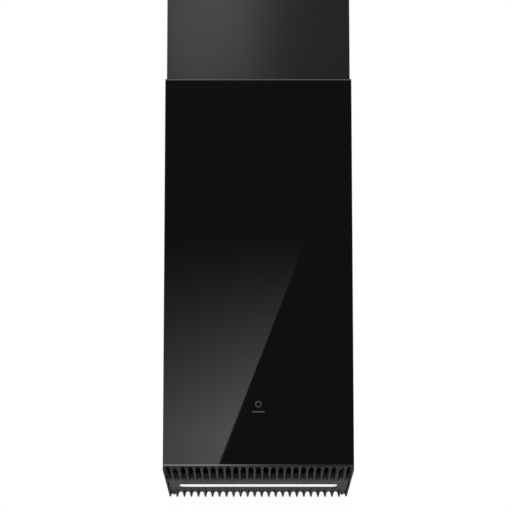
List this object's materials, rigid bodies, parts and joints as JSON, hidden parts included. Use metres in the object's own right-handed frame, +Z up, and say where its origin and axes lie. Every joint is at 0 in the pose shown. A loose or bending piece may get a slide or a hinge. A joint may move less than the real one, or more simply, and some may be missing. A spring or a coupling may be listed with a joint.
{
  "type": "wall-mounted recirculating cooker hood",
  "caption": "Slim black wall column that draws kitchen air through a finned grille with a light bar, filters it and blows it out at the top.",
  "frame": {"origin": "on the wall face of the back panel, on its centre line, 19 mm above the top of the wall hooks and 610 mm above the tips of the grille's fins", "axes": "+Y into the wall, +Z up, +X to the right for someone facing the glass; the glass front faces -Y"},
  "size_m": [0.32, 0.385, 1.0406],
  "materials": {
    "black_glass": "polished toughened glass, enamelled black on the back, with ground and polished bevels",
    "black_paint": "satin black powder coat with a very fine texture",
    "chimney_paint": "smooth satin black paint that reflects softly",
    "galvanised_steel": "bare galvanised sheet with faint spangle",
    "zinc_steel": "zinc-plated hardware",
    "grille_plastic": "moulded black plastic, fine matt grain",
    "aluminium_sheet": "satin rolled aluminium",
    "filter_black": "black-anodised aluminium: a folded frame round layers of expanded mesh",
    "circuit_board": "green solder mask on glass-fibre board",
    "lamp_diffuser": "opal diffuser, lit from behind",
    "black_plastic": "moulded black plastic",
    "grey_plastic": "moulded grey plastic",
    "magnet_ferrite": "ferrite magnet block in a plastic case",
    "motor_casing": "die-cast casing",
    "carbon_cartridge": "black moulded cartridge of carbon granules behind a fine grid"
  },
  "bodies": {
    "hood_body": {"front_glass": "black_glass", "glass_carrier": "black_paint", "side_panel_right": "black_paint", "side_panel_left": "black_paint", "back_panel": "galvanised_steel", "top_plate": "galvanised_steel", "front_rail": "galvanised_steel", "wall_hook_right": "galvanised_steel", "wall_hook_left": "galvanised_steel", "hanging_bracket_right": "galvanised_steel", "hanging_bracket_left": "galvanised_steel", "levelling_screw_right": "zinc_steel", "levelling_screw_left": "zinc_steel", "hinge_bracket_right": "black_paint", "hinge_bracket_left": "black_paint", "catch_magnet_right": "magnet_ferrite", "catch_magnet_left": "magnet_ferrite", "scroll_half_right": "black_plastic", "scroll_half_left": "black_plastic", "motor": "motor_casing", "motor_bracket": "galvanised_steel", "motor_capacitor": "grey_plastic", "inlet_ring_right": "black_plastic", "inlet_ring_left": "black_plastic", "blower_mount": "galvanised_steel", "outlet_adapter": "black_plastic", "outlet_collar": "black_plastic", "damper_pin": "zinc_steel", "touch_board": "circuit_board", "control_box": "black_plastic", "control_box_lid": "black_plastic", "power_board": "circuit_board", "led_driver": "grey_plastic", "cable_gland": "black_plastic", "gland_nut": "black_plastic", "chimney_lower": "chimney_paint"},
    "comb": {"comb_grille": "grille_plastic", "catch_keeper_right": "zinc_steel", "catch_keeper_left": "zinc_steel", "lamp_housing": "grille_plastic", "lamp_channel": "aluminium_sheet", "led_board": "circuit_board", "lamp_diffuser": "lamp_diffuser", "filter_frame": "filter_black", "filter_mesh": "filter_black"},
    "filter_bail": {"filter_handle": "zinc_steel"},
    "rotor": {"impeller": "black_plastic", "motor_shaft": "zinc_steel", "impeller_nut": "zinc_steel"},
    "right_cartridge": {"carbon_filter_right": "carbon_cartridge"},
    "left_cartridge": {"carbon_filter_left": "carbon_cartridge"},
    "rear_flap": {"damper_flap_rear": "grey_plastic"},
    "front_flap": {"damper_flap_front": "grey_plastic"},
    "upper_cover": {"chimney_upper": "chimney_paint", "chimney_bracket": "galvanised_steel", "chimney_screw_right": "zinc_steel", "chimney_screw_left": "zinc_steel"}
  },
  "joints": [
    {"name": "comb_hinge", "type": "hinge", "parent": "hood_body", "child": "comb", "pos_m": [0, -0.012, -0.604], "axis": [1, 0, 0], "range_deg": [0, 85]},
    {"name": "filter_bail_hinge", "type": "hinge", "parent": "comb", "child": "filter_bail", "pos_m": [0, -0.35, -0.581], "axis": [1, 0, 0], "range_deg": [0, 95]},
    {"name": "impeller_spin", "type": "hinge", "parent": "hood_body", "child": "rotor", "pos_m": [0, -0.19, -0.28], "axis": [1, 0, 0], "continuous": true},
    {"name": "right_cartridge_twist", "type": "hinge", "parent": "hood_body", "child": "right_cartridge", "pos_m": [0.105, -0.19, -0.28], "axis": [1, 0, 0], "range_deg": [0, 25]},
    {"name": "left_cartridge_twist", "type": "hinge", "parent": "hood_body", "child": "left_cartridge", "pos_m": [-0.105, -0.19, -0.28], "axis": [-1, 0, 0], "range_deg": [0, 25]},
    {"name": "rear_flap_hinge", "type": "hinge", "parent": "hood_body", "child": "rear_flap", "pos_m": [0, -0.11, 0.094], "axis": [1, 0, 0], "range_deg": [0, 75]},
    {"name": "front_flap_hinge", "type": "hinge", "parent": "hood_body", "child": "front_flap", "pos_m": [0, -0.11, 0.094], "axis": [-1, 0, 0], "range_deg": [0, 75]},
    {"name": "upper_cover_slide", "type": "slide", "parent": "hood_body", "child": "upper_cover", "axis": [0, 0, 1], "range_m": [0, 0.24]}
  ]
}
